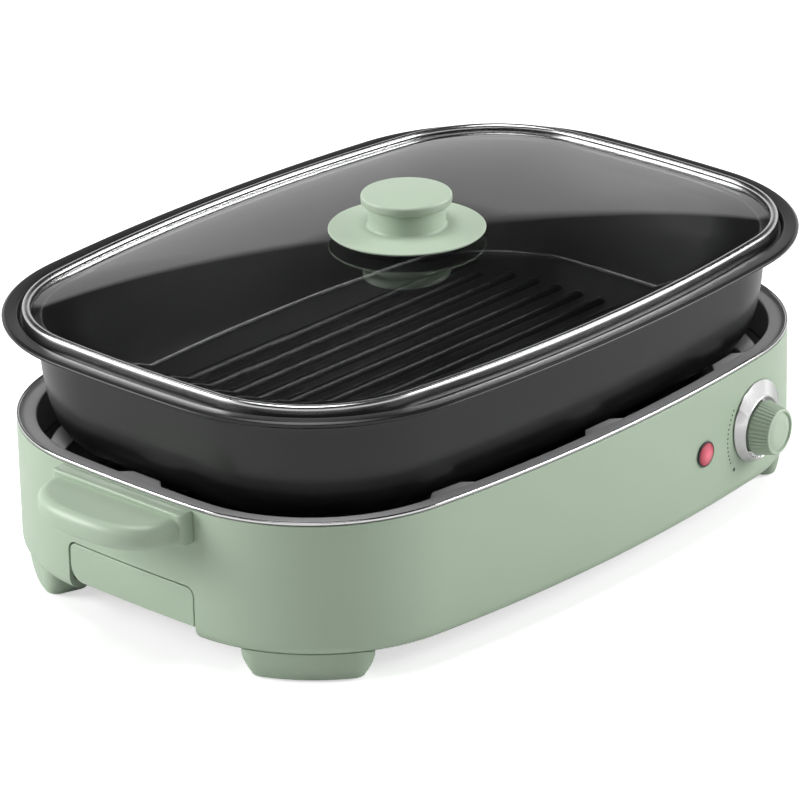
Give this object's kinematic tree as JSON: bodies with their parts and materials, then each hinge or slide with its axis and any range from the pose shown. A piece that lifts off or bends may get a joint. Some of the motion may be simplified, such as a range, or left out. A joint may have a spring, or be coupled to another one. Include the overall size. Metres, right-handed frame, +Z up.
{
  "type": "smokeless electric grill",
  "caption": "Tabletop electric grill with a deep ribbed pan that lifts out of a heated base, a domed glass lid, a drip drawer at one end and a temperature dial.",
  "frame": {"origin": "on the ground, under the middle of the object's footprint (the middle of the base)", "axes": "+X along the grill, away from the drip drawer; -Y towards the front with the dial; +Z up"},
  "size_m": [0.4694, 0.2904, 0.1756],
  "materials": {
    "sage_plastic": "satin sage green moulding",
    "pale_sage_plastic": "matte pale sage moulding",
    "chrome_trim": "bright metallised plastic",
    "dark_plastic": "fine-grained dark grey",
    "nonstick_black": "cast aluminium under a black non-stick coat",
    "steel": "plain stainless sheet and bar",
    "element_sheath": "heat-darkened sheath",
    "rubber_black": "matte black",
    "tempered_glass": "clear tempered",
    "red_lens": "clear red moulding",
    "lamp_holder": "off-white",
    "ceramic": "unglazed off-white ceramic",
    "wire_sleeve": "woven glass-fibre sleeve"
  },
  "bodies": {
    "base": {"housing_shell": "sage_plastic", "housing_bottom_ring": "sage_plastic", "handle_left": "sage_plastic", "handle_right": "sage_plastic", "foot_front_left": "sage_plastic", "foot_front_right": "sage_plastic", "foot_back_left": "sage_plastic", "foot_back_right": "sage_plastic", "rim_trim": "chrome_trim", "knob_bezel": "chrome_trim", "well_ring": "dark_plastic", "bottom_cover": "dark_plastic", "thermostat_body": "dark_plastic", "power_inlet": "dark_plastic", "drawer_rail_front": "dark_plastic", "drawer_rail_back": "dark_plastic", "heat_reflector": "steel", "element_bracket_left": "steel", "element_bracket_right": "steel", "thermostat_bracket": "steel", "fuse_clip": "steel", "inlet_pin_live": "steel", "inlet_pin_earth": "steel", "inlet_pin_neutral": "steel", "cover_screw_front_left": "steel", "cover_screw_front_right": "steel", "cover_screw_back_left": "steel", "cover_screw_back_right": "steel", "handle_screw_left_front": "steel", "handle_screw_left_back": "steel", "handle_screw_right_front": "steel", "handle_screw_right_back": "steel", "pan_rest_front_left": "steel", "pan_rest_front_right": "steel", "pan_rest_back_left": "steel", "pan_rest_back_right": "steel", "heating_element": "element_sheath", "foot_pad_front_left": "rubber_black", "foot_pad_front_right": "rubber_black", "foot_pad_back_left": "rubber_black", "foot_pad_back_right": "rubber_black", "indicator_lens": "red_lens", "indicator_lamp": "lamp_holder", "thermal_fuse": "ceramic", "terminal_block": "ceramic", "lead_live": "wire_sleeve", "lead_neutral": "wire_sleeve", "lead_element": "wire_sleeve"},
    "dial": {"control_knob": "pale_sage_plastic", "thermostat_shaft": "steel"},
    "drawer": {"drawer_front": "sage_plastic", "drawer_tray": "dark_plastic"},
    "pan": {"grill_pan": "nonstick_black"},
    "lid": {"lid_rim": "steel", "lid_glass": "tempered_glass", "lid_knob_skirt": "pale_sage_plastic", "lid_knob_cap": "pale_sage_plastic", "lid_knob_gasket": "rubber_black", "lid_knob_washer": "steel", "lid_knob_screw": "steel"}
  },
  "joints": [
    {"name": "dial_turn", "type": "hinge", "parent": "base", "child": "dial", "pos_m": [0.115, -0.13092, 0.0467], "axis": [-0.1245, 0.9922, 0], "range_deg": [0, 270]},
    {"name": "drawer_pull", "type": "slide", "parent": "base", "child": "drawer", "axis": [-1, 0, 0], "range_m": [0, 0.145]},
    {"name": "pan_lift", "type": "slide", "parent": "base", "child": "pan", "axis": [0, 0, 1], "range_m": [0, 0.12]},
    {"name": "lid_lift", "type": "slide", "parent": "pan", "child": "lid", "axis": [0, 0, 1], "range_m": [0, 0.12]}
  ]
}
